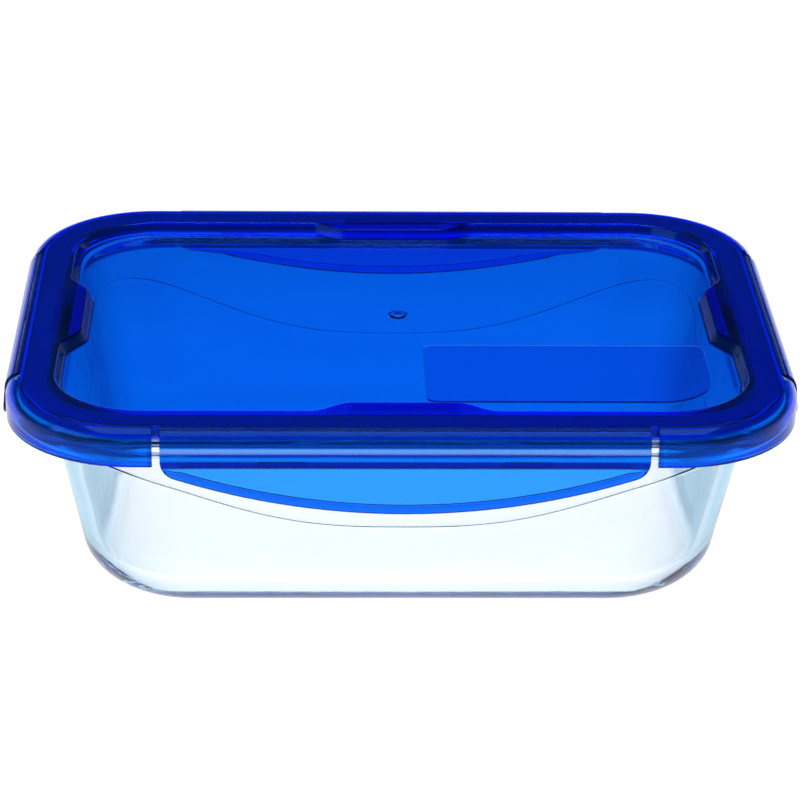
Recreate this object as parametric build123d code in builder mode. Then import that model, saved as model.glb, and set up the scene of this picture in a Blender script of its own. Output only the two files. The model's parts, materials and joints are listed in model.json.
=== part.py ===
"""Rectangular glass storage dish with a clip-on lid: four living-hinged flaps and a silicone gasket.

Frame: origin at the centre of the dish's flat base, +X along the long side, -Y to the front, +Z up.
The flaps are drawn in their rest position, swung REST_ANGLE out from the latched position.
"""
import os
from math import cos, radians, sin, sqrt

from build123d import *

# Lid, outside
LID_WIDTH = 200.0
LID_DEPTH = 150.0
LID_CORNER_R = 33.0
LID_TOP_Z = 61.0
SKIRT_BOTTOM_Z = 51.0
SKIRT_WALL = 1.4
CROWN_R = 4.6
PLATE_THICKNESS = 1.5

# Recessed panel in the lid's top, with one inward bump in the middle of each side
RIM_WIDTH = 12.3
RECESS_CORNER_R = 22.8
RECESS_DEPTH = 3.2
RECESS_SLOPE = 21.0
BUMP_BASE = 45.0
BUMP_TOP = 27.0
BUMP_REACH = 5.0
BUMP_BLEND_R = 14.0
GATE_MARK_R = 2.15
GATE_MARK_HEIGHT = 0.5
GATE_MARK_Y = 4.0
PATCH_WIDTH = 73.0
PATCH_DEPTH = 35.0
PATCH_CENTRE = (42.5, -33.5)
PATCH_RELIEF = 0.15
PATCH_RADII = (2.5, 14.0)

# Gasket and its channel
CHANNEL_OUTER = 4.5
CHANNEL_INNER = 10.6
CHANNEL_RIB = 0.9
CHANNEL_RIB_DEPTH = 2.1
GASKET_PLAY = 0.1
GASKET_LIP_HEIGHT = 1.5
GASKET_LIP_WIDTH = 1.4

# Glass dish
BASE_HALF_X = 80.7
BASE_HALF_Y = 55.7
DISH_CORNER_R = 27.8
WALL_SPREAD = 9.3
WALL_THICKNESS = 4.2
FLOOR_THICKNESS = 5.0
HEEL_R = 14.0
INNER_HEEL_R = 11.0
FLANGE_TOP_Z = 56.1
FLANGE_BOTTOM_Z = 52.2
FLANGE_INSET = 2.2
FLANGE_EDGE_R = 1.2
FLANGE_COVE_R = 2.5

# Living hinges: the axis runs along the top of the rim, just inside each flap's outer face
HINGE_INSET = 2.56
HINGE_DROP = 1.0
HINGE_BEAD_R = 0.3
HINGE_FILM_LENGTH = 1.0
HINGE_FILM_TOP = -0.05
HINGE_FILM_BOTTOM = -0.35
REST_ANGLE = 5.0

# Clip flaps, in the latched position: "out" is outboard of the hinge axis and "up" is above it
FLAP_HALF_FRONT = 60.0
FLAP_HALF_SIDE = 40.0
FLAP_END_GAP = 1.9
FLAP_PROUD = 0.3
FLAP_HINGE_GAP = 0.45
LEDGE_TOP = -8.0
LEDGE_BOTTOM = -8.95
LEDGE_OUT = 0.6
LUG_OUT = -0.14
LUG_TOP = -7.95
LUG_LENGTH = 12.0
LUG_OFFSET_FRONT = 30.0
LUG_OFFSET_SIDE = 20.0
TAB_THICKNESS = 0.9
TAB_SETBACK = 0.4
TAB_END_UP = -10.8
TAB_SAGITTA_FRONT = 10.2
TAB_SAGITTA_SIDE = 8.0
TAB_CORNER_R = 5.0
BEAD_WIDTH = 2.0
BEAD_THICKNESS = 1.7

lid_half_x = LID_WIDTH / 2
lid_half_y = LID_DEPTH / 2
plate_bottom_z = LID_TOP_Z - PLATE_THICKNESS
panel_top_z = LID_TOP_Z - RECESS_DEPTH
panel_bottom_z = panel_top_z - PLATE_THICKNESS
hinge_z = LID_TOP_Z - HINGE_DROP
flap_outer = HINGE_INSET + FLAP_PROUD
flap_inner = flap_outer - SKIRT_WALL

os.makedirs("parts", exist_ok=True)


def save(part, label):
    """Label a finished piece and write its STEP file."""
    part.label = label
    export_step(part, f"parts/{label}.step")


def rim_rectangle(inset, mode=Mode.ADD):
    """The lid's outline moved inwards by inset, for use inside a sketch."""
    return RectangleRounded(
        LID_WIDTH - 2 * inset, LID_DEPTH - 2 * inset, LID_CORNER_R - inset, mode=mode
    )


# ---------------------------------------------------------------- glass dish
wall_half_x = BASE_HALF_X + WALL_SPREAD
wall_half_y = BASE_HALF_Y + WALL_SPREAD
floor_spread = WALL_SPREAD * FLOOR_THICKNESS / FLANGE_TOP_Z - WALL_THICKNESS

with BuildPart() as dish_inside:
    with BuildSketch(Plane.XY.offset(FLOOR_THICKNESS)):
        RectangleRounded(
            2 * (BASE_HALF_X + floor_spread),
            2 * (BASE_HALF_Y + floor_spread),
            DISH_CORNER_R - WALL_THICKNESS,
        )
    with BuildSketch(Plane.XY.offset(FLANGE_TOP_Z)):
        RectangleRounded(
            2 * (wall_half_x - WALL_THICKNESS),
            2 * (wall_half_y - WALL_THICKNESS),
            DISH_CORNER_R - WALL_THICKNESS,
        )
    loft(ruled=True)
    fillet(dish_inside.faces().sort_by(Axis.Z)[0].edges(), INNER_HEEL_R)

with BuildPart() as glass_dish:
    with BuildSketch(Plane.XY):
        RectangleRounded(2 * BASE_HALF_X, 2 * BASE_HALF_Y, DISH_CORNER_R)
    with BuildSketch(Plane.XY.offset(FLANGE_TOP_Z)):
        RectangleRounded(2 * wall_half_x, 2 * wall_half_y, DISH_CORNER_R)
    loft(ruled=True)
    fillet(glass_dish.faces().sort_by(Axis.Z)[0].edges(), HEEL_R)
    with BuildSketch(Plane.XY.offset(FLANGE_BOTTOM_Z)):
        rim_rectangle(FLANGE_INSET)
    extrude(amount=FLANGE_TOP_Z - FLANGE_BOTTOM_Z)
    flange_underside = glass_dish.faces().filter_by(Plane.XY).filter_by(
        lambda face: abs(face.center().Z - FLANGE_BOTTOM_Z) < 0.01
    )[0]
    fillet(flange_underside.inner_wires()[0].edges(), FLANGE_COVE_R)
    add(dish_inside.part, mode=Mode.SUBTRACT)
    flange_top = glass_dish.faces().sort_by(Axis.Z)[-1]
    fillet(flange_top.edges(), FLANGE_EDGE_R)
save(glass_dish.part, "glass_dish")

# ---------------------------------------------------------------- lid shell
recess_half_x = lid_half_x - RIM_WIDTH
recess_half_y = lid_half_y - RIM_WIDTH
bump_profile = [
    (-BUMP_BASE / 2, -1),
    (-BUMP_BASE / 2, 0),
    (-BUMP_TOP / 2, BUMP_REACH),
    (BUMP_TOP / 2, BUMP_REACH),
    (BUMP_BASE / 2, 0),
    (BUMP_BASE / 2, -1),
]

with BuildSketch() as recess:
    RectangleRounded(2 * recess_half_x, 2 * recess_half_y, RECESS_CORNER_R)
    for x, y, turn in [
        (0, -recess_half_y, 0),
        (recess_half_x, 0, 90),
        (0, recess_half_y, 180),
        (-recess_half_x, 0, 270),
    ]:
        with Locations(Location((x, y, 0), (0, 0, turn))):
            Polygon(*bump_profile, align=None, mode=Mode.SUBTRACT)
    bump_corners = recess.vertices().filter_by(lambda v: min(abs(v.X), abs(v.Y)) <= BUMP_BASE / 2 + 0.1)
    fillet(bump_corners, BUMP_BLEND_R)

with BuildPart() as lid_underside:
    with BuildSketch(Plane.XY.offset(SKIRT_BOTTOM_Z)):
        rim_rectangle(SKIRT_WALL)
    extrude(amount=plate_bottom_z - SKIRT_BOTTOM_Z)
    fillet(lid_underside.faces().sort_by(Axis.Z)[-1].edges(), CROWN_R - SKIRT_WALL)

with BuildPart() as lid_shell:
    with BuildSketch(Plane.XY.offset(SKIRT_BOTTOM_Z)):
        rim_rectangle(0)
    extrude(amount=LID_TOP_Z - SKIRT_BOTTOM_Z)
    fillet(lid_shell.faces().sort_by(Axis.Z)[-1].edges(), CROWN_R)
    add(lid_underside.part, mode=Mode.SUBTRACT)
    # the recessed panel hangs below the plate as a plug, solid under the bumps, and the recess is then cut into it
    with BuildSketch(Plane.XY.offset(panel_bottom_z)):
        RectangleRounded(2 * recess_half_x, 2 * recess_half_y, RECESS_CORNER_R)
        offset(amount=SKIRT_WALL)
    extrude(amount=LID_TOP_Z - PLATE_THICKNESS / 2 - panel_bottom_z)
    with BuildSketch(Plane.XY.offset(LID_TOP_Z)):
        add(recess.sketch)
    extrude(amount=-RECESS_DEPTH, taper=RECESS_SLOPE, mode=Mode.SUBTRACT)
    # two ribs under the rim hold the gasket between them
    with BuildSketch(Plane.XY.offset(plate_bottom_z - CHANNEL_RIB_DEPTH)):
        for inset in (CHANNEL_OUTER - CHANNEL_RIB, CHANNEL_INNER):
            rim_rectangle(inset)
            rim_rectangle(inset + CHANNEL_RIB, mode=Mode.SUBTRACT)
    extrude(amount=CHANNEL_RIB_DEPTH)
    # the flaps' places in the skirt, down to the edge that the hinge film leaves from
    cut_in = HINGE_INSET + HINGE_FILM_LENGTH
    with BuildSketch(Plane.XY.offset(SKIRT_BOTTOM_Z - 1)):
        with Locations((0, -lid_half_y), (0, lid_half_y)):
            Rectangle(2 * (FLAP_HALF_FRONT + FLAP_END_GAP), 2 * cut_in)
        with Locations((-lid_half_x, 0), (lid_half_x, 0)):
            Rectangle(2 * cut_in, 2 * (FLAP_HALF_SIDE + FLAP_END_GAP))
    extrude(amount=LID_TOP_Z - SKIRT_BOTTOM_Z + 2, mode=Mode.SUBTRACT)
    # gate mark and the smooth writing patch
    with BuildSketch(Plane.XY.offset(panel_top_z)):
        with Locations((0, GATE_MARK_Y)):
            Circle(GATE_MARK_R)
    extrude(amount=GATE_MARK_HEIGHT)
    with BuildSketch(Plane.XY.offset(panel_top_z)):
        with Locations(PATCH_CENTRE):
            patch = Rectangle(PATCH_WIDTH, PATCH_DEPTH)
        patch_corners = patch.vertices().group_by(Axis.X)
        fillet(patch_corners[0], PATCH_RADII[0])
        fillet(patch_corners[-1].sort_by(Axis.Y)[0], PATCH_RADII[1])
    extrude(amount=PATCH_RELIEF)
save(lid_shell.part, "lid_shell")

# ---------------------------------------------------------------- gasket
gasket_outer = CHANNEL_OUTER + GASKET_PLAY
gasket_inner = CHANNEL_INNER - GASKET_PLAY
lip_insets = (gasket_outer + GASKET_LIP_WIDTH / 2, gasket_inner - 1.5 * GASKET_LIP_WIDTH)

with BuildPart() as lid_gasket:
    with BuildSketch(Plane.XY.offset(FLANGE_TOP_Z + GASKET_LIP_HEIGHT)):
        rim_rectangle(gasket_outer)
        rim_rectangle(gasket_inner, mode=Mode.SUBTRACT)
    extrude(amount=plate_bottom_z - FLANGE_TOP_Z - GASKET_LIP_HEIGHT)
    with BuildSketch(Plane.XY.offset(FLANGE_TOP_Z)):
        for inset in lip_insets:
            rim_rectangle(inset)
            rim_rectangle(inset + GASKET_LIP_WIDTH, mode=Mode.SUBTRACT)
    extrude(amount=GASKET_LIP_HEIGHT)
save(lid_gasket.part, "lid_gasket")


# ---------------------------------------------------------------- hinges and flaps
def section_plane(frame):
    """The plane across a hinge: sketch x points outboard and sketch y up."""
    return Plane(frame.origin, x_dir=-frame.y_dir, z_dir=-frame.x_dir)


def face_plane(frame, out):
    """The plane along a flap's face, at the distance out from the hinge axis."""
    return Plane(frame.origin - frame.y_dir * out, x_dir=frame.x_dir, z_dir=-frame.y_dir)


def make_hinge(frame, half_length):
    """The film and the bead that join a flap to the lid, as one strip along the axis."""
    with BuildPart() as web:
        with BuildSketch(section_plane(frame)):
            Circle(HINGE_BEAD_R)
            with Locations((-HINGE_FILM_LENGTH, HINGE_FILM_BOTTOM)):
                Rectangle(HINGE_FILM_LENGTH, HINGE_FILM_TOP - HINGE_FILM_BOTTOM, align=Align.MIN)
        extrude(amount=half_length, both=True)
    return web.part


def arc_height(radius, centre_up, out):
    """Height of a crown arc, centred under the hinge, at the distance out."""
    return centre_up + sqrt(radius**2 - (out - flap_outer + CROWN_R) ** 2)


def tab_outline(half_length, sagitta, inset=0.0):
    """A flap seen from outside: straight ends and a long curved lower edge, moved in by inset."""
    half = half_length - inset
    end_up = TAB_END_UP + inset
    with BuildSketch() as outline:
        with BuildLine():
            top_left = (-half, 1)
            top_right = (half, 1)
            Polyline((-half, end_up), top_left, top_right, (half, end_up))
            ThreePointArc((half, end_up), (0, end_up - sagitta), (-half, end_up))
        make_face()
        fillet(outline.vertices().group_by(Axis.Y)[0], TAB_CORNER_R - inset)
    return outline.sketch


def make_flap(frame, half_length, sagitta, lug_offset):
    """One clip flap: crowned shoulder, face, ledge with two lugs, and a beaded finger tab."""
    crown_up = LID_TOP_Z - CROWN_R - hinge_z
    inner_r = CROWN_R - SKIRT_WALL
    near = FLAP_HINGE_GAP
    tab_outer = flap_outer - TAB_SETBACK
    tab_bottom = TAB_END_UP - sagitta
    mid_out = flap_outer - CROWN_R * (1 - sqrt(0.5))
    mid_in = flap_inner - inner_r * (1 - sqrt(0.5))
    outline = tab_outline(half_length, sagitta)
    inner_outline = tab_outline(half_length, sagitta, BEAD_WIDTH)

    with BuildPart() as flap:
        with BuildSketch(section_plane(frame)):
            with BuildLine():
                top = (near, arc_height(CROWN_R, crown_up, near))
                under = (near, arc_height(inner_r, crown_up, near))
                ThreePointArc(top, (mid_out, arc_height(CROWN_R, crown_up, mid_out)), (flap_outer, crown_up))
                Polyline(
                    (flap_outer, crown_up),
                    (flap_outer, LEDGE_BOTTOM),
                    (tab_outer, LEDGE_BOTTOM),
                    (tab_outer, tab_bottom),
                    (tab_outer - TAB_THICKNESS, tab_bottom),
                    (tab_outer - TAB_THICKNESS, LEDGE_BOTTOM),
                    (LEDGE_OUT, LEDGE_BOTTOM),
                    (LEDGE_OUT, LEDGE_TOP),
                    (flap_inner, LEDGE_TOP),
                    (flap_inner, crown_up),
                )
                ThreePointArc((flap_inner, crown_up), (mid_in, arc_height(inner_r, crown_up, mid_in)), under)
                Line(under, top)
            make_face()
        extrude(amount=half_length, both=True)
        # the bead stands out on both sides of the tab, along its curved edge
        bead_out = tab_outer + (BEAD_THICKNESS - TAB_THICKNESS) / 2
        with BuildSketch(face_plane(frame, bead_out)):
            add(outline)
            add(inner_outline, mode=Mode.SUBTRACT)
            with Locations((0, LEDGE_BOTTOM)):
                Rectangle(2 * half_length, 20, align=(Align.CENTER, Align.MIN), mode=Mode.SUBTRACT)
        extrude(amount=-BEAD_THICKNESS)
        with BuildSketch(face_plane(frame, flap_outer)):
            add(outline)
        extrude(amount=-flap_outer, mode=Mode.INTERSECT)
        # the lugs stand further in than the ledge, under the flange when latched
        for shift in (-lug_offset, lug_offset):
            with BuildSketch(section_plane(frame).offset(shift)):
                with Locations((LUG_OUT, LEDGE_BOTTOM)):
                    Rectangle(flap_inner - LUG_OUT, LUG_TOP - LEDGE_BOTTOM, align=Align.MIN)
            extrude(amount=LUG_LENGTH / 2, both=True)
    return flap.part


hinge_reach_x = lid_half_x - HINGE_INSET
hinge_reach_y = lid_half_y - HINGE_INSET
sides = {
    "front": ((0, -hinge_reach_y), (1, 0, 0), FLAP_HALF_FRONT, TAB_SAGITTA_FRONT, LUG_OFFSET_FRONT),
    "rear": ((0, hinge_reach_y), (-1, 0, 0), FLAP_HALF_FRONT, TAB_SAGITTA_FRONT, LUG_OFFSET_FRONT),
    "left": ((-hinge_reach_x, 0), (0, -1, 0), FLAP_HALF_SIDE, TAB_SAGITTA_SIDE, LUG_OFFSET_SIDE),
    "right": ((hinge_reach_x, 0), (0, 1, 0), FLAP_HALF_SIDE, TAB_SAGITTA_SIDE, LUG_OFFSET_SIDE),
}

for side, ((x, y), along, half_length, sagitta, lug_offset) in sides.items():
    hinge_frame = Plane(origin=(x, y, hinge_z), x_dir=along, z_dir=(0, 0, 1))
    save(make_hinge(hinge_frame, half_length), f"{side}_hinge")
    # swinging the flap outwards tips its own upward direction inboard
    rest_up = hinge_frame.z_dir * cos(radians(REST_ANGLE)) + hinge_frame.y_dir * sin(radians(REST_ANGLE))
    rest_frame = Plane(origin=(x, y, hinge_z), x_dir=along, z_dir=rest_up)
    save(make_flap(rest_frame, half_length, sagitta, lug_offset), f"{side}_flap")
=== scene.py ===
import json
import math

import bmesh
import bpy
from mathutils import Matrix, Vector
from mathutils.geometry import delaunay_2d_cdt


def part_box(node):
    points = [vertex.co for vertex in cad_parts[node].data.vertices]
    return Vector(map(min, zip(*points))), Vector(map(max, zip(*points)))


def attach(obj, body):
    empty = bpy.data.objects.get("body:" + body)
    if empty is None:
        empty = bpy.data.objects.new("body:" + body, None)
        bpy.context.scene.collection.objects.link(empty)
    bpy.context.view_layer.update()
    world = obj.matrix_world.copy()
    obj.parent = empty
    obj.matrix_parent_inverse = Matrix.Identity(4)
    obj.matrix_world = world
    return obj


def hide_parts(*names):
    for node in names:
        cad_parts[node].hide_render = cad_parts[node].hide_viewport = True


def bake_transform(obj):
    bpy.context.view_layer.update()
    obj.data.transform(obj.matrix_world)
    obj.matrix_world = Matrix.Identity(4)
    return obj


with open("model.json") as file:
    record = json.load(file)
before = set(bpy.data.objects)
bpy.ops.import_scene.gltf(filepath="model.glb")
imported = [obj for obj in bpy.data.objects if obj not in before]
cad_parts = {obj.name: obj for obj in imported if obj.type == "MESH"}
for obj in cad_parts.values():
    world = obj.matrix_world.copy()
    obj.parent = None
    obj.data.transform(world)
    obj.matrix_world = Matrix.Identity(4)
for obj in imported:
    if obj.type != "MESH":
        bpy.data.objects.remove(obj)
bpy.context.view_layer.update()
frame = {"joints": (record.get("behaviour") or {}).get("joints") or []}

# Glass storage container: every visible piece is rebuilt here as a fine mesh in its CAD node's place.
# Lengths are in millimetres until a mesh is written, and MM turns them into metres.
MM = 0.001


# ------------------------------------------------------------------ sizes
def box_mm(node):
    """A CAD node's lowest and highest corners at rest, in millimetres."""
    return [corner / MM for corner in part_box(node)]


lid_low, lid_high = box_mm("lid_shell")
dish_high = box_mm("glass_dish")[1]
gasket_low, gasket_high = box_mm("lid_gasket")

# Lid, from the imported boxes
LID_HALF_X = lid_high.x
LID_HALF_Y = lid_high.y
LID_TOP = lid_high.z
SKIRT_BOTTOM = lid_low.z
LONG_MINUS_SHORT = LID_HALF_X - LID_HALF_Y
CHANNEL_TOP = gasket_high.z
FLAP_HALF_LENGTH = {"long": box_mm("front_flap")[1].x, "short": box_mm("right_flap")[1].y}
CUT_INSET = LID_HALF_Y + box_mm("front_hinge")[1].y

# Lid, moulded details
LID_CORNER_R = 33.0
CROWN_R = 4.6
SKIRT_WALL = 1.4
FLAP_END_GAP = 1.9
RECESS_INSET = 12.3
RECESS_CORNER_R = 22.8
RECESS_DEPTH = 3.2
RECESS_SLOPE_WIDTH = 1.23
PANEL_THICKNESS = 1.5
BUMP_BASE = 45.0
BUMP_TOP = 27.0
BUMP_REACH = 5.0
CHANNEL_OUTER = 4.5
CHANNEL_INNER = 10.6
CHANNEL_RIB_DEPTH = 2.1
PLUG_INSET = RECESS_INSET - SKIRT_WALL
GATE_R = 2.15
GATE_HEIGHT = 0.5
GATE_Y = 4.0
GATE_CLEARANCE = 5.0
PATCH_CENTRE = (42.5, -33.5)
PATCH_SIZE = (73.0, 35.0)
PATCH_RADII = (14.0, 2.5, 2.5, 2.5)
PATCH_RELIEF = 0.15
EDGE_R = 0.2

# Glass dish
FLANGE_TOP = dish_high.z
FLANGE_HALF_X = dish_high.x
FLANGE_BOTTOM = 52.2
FLANGE_CORNER_R = 30.8
COVE_R = 2.5
BASE_HALF_X = 80.7
DISH_CORNER_R = 27.8
WALL_SPREAD = 9.3
WALL_THICKNESS = 4.2
FLOOR_THICKNESS = 5.0
FLOOR_EDGE_INSETS = (2.5, 0.6)
HEEL_R = 14.0
INNER_HEEL_R = 11.0
WAVE_PEAK = 45.0
WAVE_DIP = {"long": 27.5, "short": 33.0}
WAVE_STEP = 0.3
WAVE_HALF_WIDTH = 0.3
LEAN = math.atan(WALL_SPREAD / FLANGE_TOP)
HEEL_PULL = math.tan((math.pi / 2 - LEAN) / 2)

# Flaps, latched: "out" is outboard of the hinge axis and "up" is above it
FLAP_OUT = 2.86
FLAP_START = 0.45
LEDGE_OUT = 0.6
LEDGE_END_UP = -9.3
LUG_OUT = -0.14
LUG_HALF_LENGTH = 6.0
LUG_OFFSET = {"long": 30.0, "short": 20.0}
LUG_END_BLEND = 0.35
TAB_SAGITTA = {"long": 10.2, "short": 8.0}
TAB_SETBACK = 0.4
TAB_THICKNESS = 0.9
TAB_END_UP = -10.8
TAB_BLEND_HEIGHT = 3.3
TAB_CORNER_R = 5.0
BEAD_HEIGHT = 2.3
BEAD_SWELL = 0.4
BEAD_EDGE_R = 0.5
WEB_END_GAP = 0.05

# Finish: a value at each point that picks the tint and gloss of the plastic, with its painted highlight and
# painted shade, or paints a dark shade line on the glass's wave line
# painted highlight: a pale band high on each flap's face
PAINTED_HIGHLIGHT = -1.0
# the tab takes part of that pale tint as a painted sheen
TAB = -0.35
PANEL = 0.0
SATIN = 0.5
# the writing patch, whose tint is also painted as shade on the foot of the recess step
PATCH_AND_PAINTED_STEP_SHADE = 1.0
# painted shade: a deep navy tint on the bumps, the plug under them and the hinge webs
DEEP_PAINTED_SHADE = 1.65
# painted shade along the ledge under each flap's face
LEDGE_PAINTED_SHADE = 2.0
CLEAR_GLASS = 0.0
# painted shade: a dark line along the glass's wave line
WAVE_LINE = 1.0

# Each side, counter-clockwise from above: its outward direction, the direction along it, and its pair
SIDES = {
    "front": (Vector((0, -1, 0)), Vector((1, 0, 0)), "long"),
    "right": (Vector((1, 0, 0)), Vector((0, 1, 0)), "short"),
    "rear": (Vector((0, 1, 0)), Vector((-1, 0, 0)), "long"),
    "left": (Vector((-1, 0, 0)), Vector((0, -1, 0)), "short"),
}
UP = Vector((0, 0, 1))


# ------------------------------------------------------------------ mesh building
def smoothstep(low, high, value):
    """0 below low, 1 above high, and a smooth rise between them."""
    t = min(1.0, max(0.0, (value - low) / (high - low)))
    return t * t * (3 - 2 * t)


def even_steps(count):
    """Numbers from -1 to 1 in even steps."""
    return [2 * k / count - 1 for k in range(count + 1)]


def arc_sag(radius, distance):
    """How far an arc has fallen away from its tangent, at a distance along the tangent."""
    return radius - math.sqrt(max(0.0, radius**2 - distance**2))


def places_round(long_steps, short_steps, corner_steps):
    """The places at which every ring has a point: (side, how far along it, how far round its corner)."""
    places = []
    for side, (_, _, pair) in SIDES.items():
        steps = long_steps if pair == "long" else short_steps
        places += [(side, t, 0.0) for t in steps]
        places += [(side, 1.0, k / corner_steps) for k in range(1, corner_steps)]
    return places


def outline_point(place, half_x, radius, z, push=None):
    """A rounded rectangle's point at a place. push gives how far a side is pressed inwards there."""
    side, t, turn = place
    out, along, pair = SIDES[side]
    half_y = half_x - LONG_MINUS_SHORT
    reach, length = (half_y, half_x) if pair == "long" else (half_x, half_y)
    length -= radius
    if turn:
        angle = turn * math.pi / 2
        flat = out * (reach - radius) + along * length
        flat += (out * math.cos(angle) + along * math.sin(angle)) * radius
    else:
        flat = out * (reach - (push(t * length) if push else 0.0)) + along * (t * length)
    return flat + UP * z


def ring(places, half_x, radius, z, push=None):
    """A whole rounded rectangle, one point for each place."""
    return [outline_point(place, half_x, radius, z, push) for place in places]


def shrunk(loop, amount):
    """A closed 2-D loop with every point moved inwards."""
    pairs = zip(loop, loop[1:] + loop[:1])
    turning = sum(a[0] * b[1] - b[0] * a[1] for a, b in pairs)
    moved = []
    for before, point, after in zip(loop[-1:] + loop[:-1], loop, loop[1:] + loop[:1]):
        tangent = Vector(after) - Vector(before)
        normal = Vector((-tangent.y, tangent.x)).normalized() * math.copysign(1, turning)
        moved.append(tuple(Vector(point) + normal * amount))
    return moved


class Skin:
    """A mesh in the making, in millimetres."""

    def __init__(self, finish=SATIN):
        self.finish = finish
        self.finishes_and_painted_light = []
        self.points = []
        self.faces = []

    def add(self, points, finishes_and_painted_light=None):
        """Adds points, with a finish value for each, which may paint highlight or shade, and returns their
        numbers.
        """
        first = len(self.points)
        self.points += [Vector(p) for p in points]
        self.finishes_and_painted_light += finishes_and_painted_light or [self.finish] * len(points)
        return list(range(first, len(self.points)))

    def bridge(self, row, next_row):
        """Quads between two closed rows of the same length."""
        for a, b, c, d in zip(row, row[1:] + row[:1], next_row[1:] + next_row[:1], next_row):
            self.faces.append((a, b, c, d))

    def bridge_all(self, rows):
        """Quads between each row and the next."""
        for row, next_row in zip(rows, rows[1:]):
            self.bridge(row, next_row)

    def fill_flat(self, *loops):
        """Fills the area inside the first loop, keeping every other loop as edges."""
        numbers = [n for loop in loops for n in loop]
        edges = []
        for loop in loops:
            start = len(edges)
            edges += [(start + i, start + (i + 1) % len(loop)) for i in range(len(loop))]
        flat = [self.points[n].to_2d() for n in numbers]
        _, _, faces, originals, _, _ = delaunay_2d_cdt(flat, edges, [], 1, 1e-6)
        for face in faces:
            self.faces.append(tuple(numbers[originals[k][0]] for k in face))

    def to_object(self, name, smooth_angle):
        """Makes the Blender object, with its unused and doubled points dropped."""
        used = sorted({n for face in self.faces for n in face})
        number = {old: new for new, old in enumerate(used)}
        mesh = bpy.data.meshes.new(name)
        mesh.from_pydata(
            [self.points[n] * MM for n in used], [], [[number[n] for n in face] for face in self.faces]
        )
        # the finish attribute carries painted highlight and painted shade along with tint and gloss
        layer = mesh.attributes.new("finish", "FLOAT", "POINT")
        layer.data.foreach_set("value", [self.finishes_and_painted_light[n] for n in used])
        bm = bmesh.new()
        bm.from_mesh(mesh)
        bmesh.ops.remove_doubles(bm, verts=bm.verts, dist=1e-7)
        bmesh.ops.recalc_face_normals(bm, faces=bm.faces)
        bm.to_mesh(mesh)
        bm.free()
        mesh.polygons.foreach_set("use_smooth", [True] * len(mesh.polygons))
        mesh.set_sharp_from_angle(angle=math.radians(smooth_angle))
        obj = bpy.data.objects.new(name, mesh)
        bpy.context.scene.collection.objects.link(obj)
        return obj


# ------------------------------------------------------------------ glass dish
def wall_half(z):
    """Half the dish's outer length at a height on its leaning wall."""
    return BASE_HALF_X + WALL_SPREAD * z / FLANGE_TOP


def wave_height(place):
    """Height of the wavy relief line: high at the corners, dipping at the middle of each side."""
    side, t, turn = place
    names = list(SIDES)
    if turn > 0.5:
        side = names[(names.index(side) + 1) % 4]
        t, turn = 1.0, 1.0 - turn
    pair = SIDES[side][2]
    straight = wall_half(WAVE_PEAK) - DISH_CORNER_R - (LONG_MINUS_SHORT if pair == "short" else 0)
    quarter = DISH_CORNER_R * math.pi / 2
    share = (straight * abs(t) + quarter * turn) / (straight + quarter / 2)
    rise = math.sin(math.pi / 2 * share**1.45) ** 2
    return WAVE_DIP[pair] + (WAVE_PEAK - WAVE_DIP[pair]) * rise


def heel(flat_half, floor_z, radius):
    """Half lengths and heights round a heel, from the flat to the leaning wall."""
    steps = 14
    end = math.pi / 2 - LEAN
    angles = [end * k / steps for k in range(steps + 1)]
    return [(flat_half + radius * math.sin(a), floor_z + radius - radius * math.cos(a)) for a in angles]


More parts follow.
